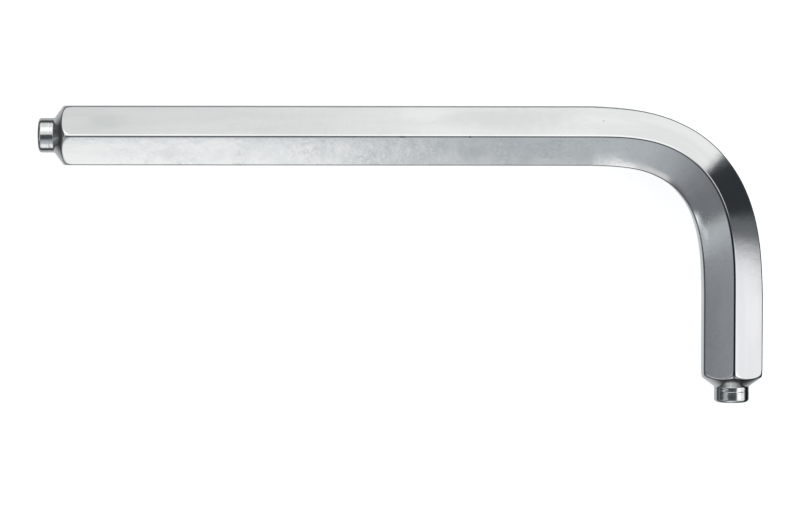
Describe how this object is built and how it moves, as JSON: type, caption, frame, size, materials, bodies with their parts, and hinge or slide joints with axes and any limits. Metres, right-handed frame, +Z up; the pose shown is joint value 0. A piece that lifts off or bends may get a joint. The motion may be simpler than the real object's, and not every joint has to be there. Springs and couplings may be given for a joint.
{
  "type": "hex key",
  "caption": "L-shaped hex key bent from plated hexagon bar, with a short turned pilot at each end, for socket screws.",
  "frame": {"origin": "middle of the key's overall box, on the floor that it lies on", "axes": "+X along the long arm towards the bend, +Y from the short arm's free end towards the long arm, +Z up, square to the plane of the bend"},
  "size_m": [0.122, 0.05, 0.0113],
  "materials": {
    "plated_steel": "satin plating over drawn hexagon bar, ends turned bright"
  },
  "bodies": {
    "root": {"hex_key": "plated_steel"}
  },
  "joints": []
}
